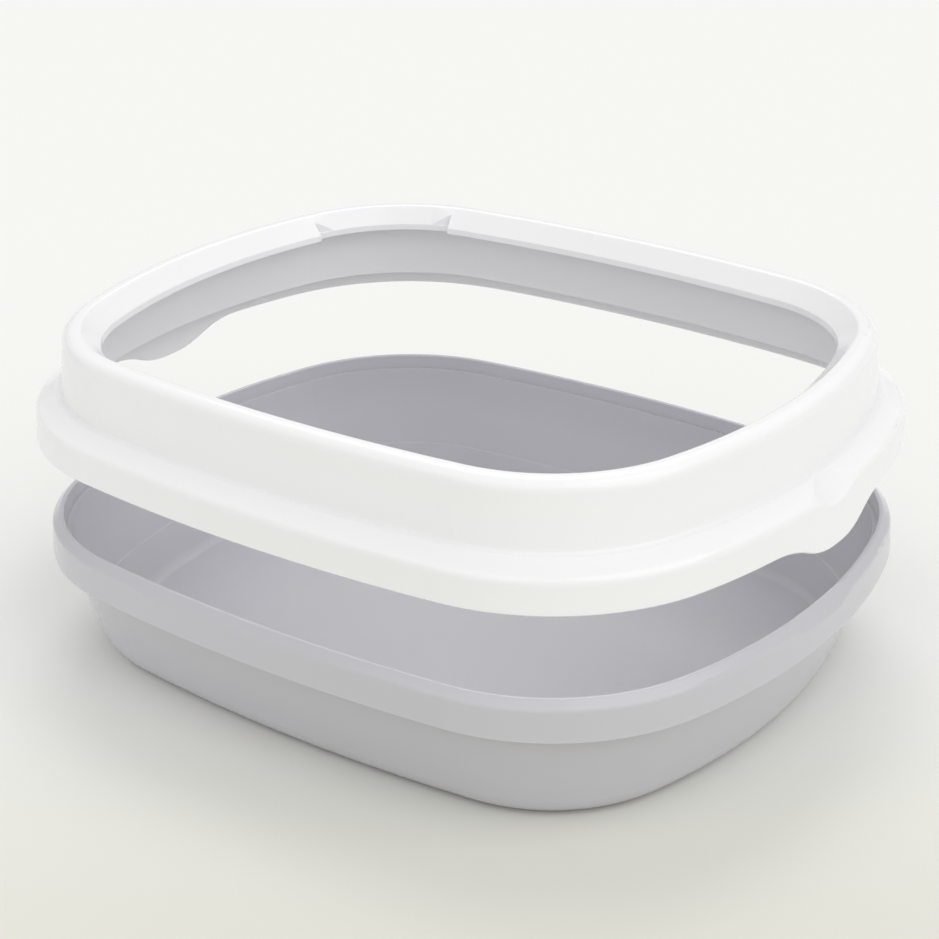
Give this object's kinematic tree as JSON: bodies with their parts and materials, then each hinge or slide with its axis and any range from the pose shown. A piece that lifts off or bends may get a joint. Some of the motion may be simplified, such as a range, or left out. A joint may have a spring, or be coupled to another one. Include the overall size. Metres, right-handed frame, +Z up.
{
  "type": "cat litter box",
  "caption": "Open litter tray with bowed sides and a high removable splash rim that clips over its flange, with a thumb recess and pull lobe at each end.",
  "frame": {"origin": "centre of the tray's underside, on the surface it stands on", "axes": "+X along the long side, towards the end with the smooth lobe, +Y along the short side towards the scoop rest's corner, +Z up"},
  "size_m": [0.5016, 0.4183, 0.2072],
  "materials": {
    "tray_plastic": "satin moulded polypropylene, pale cool grey",
    "rim_plastic": "satin moulded polypropylene, white"
  },
  "bodies": {
    "tray_body": {"tray": "tray_plastic"},
    "rim_body": {"splash_rim": "rim_plastic"}
  },
  "joints": [
    {"name": "rim_lift", "type": "slide", "parent": "tray_body", "child": "rim_body", "axis": [0, 0, 1], "range_m": [-0.074, 0]}
  ]
}
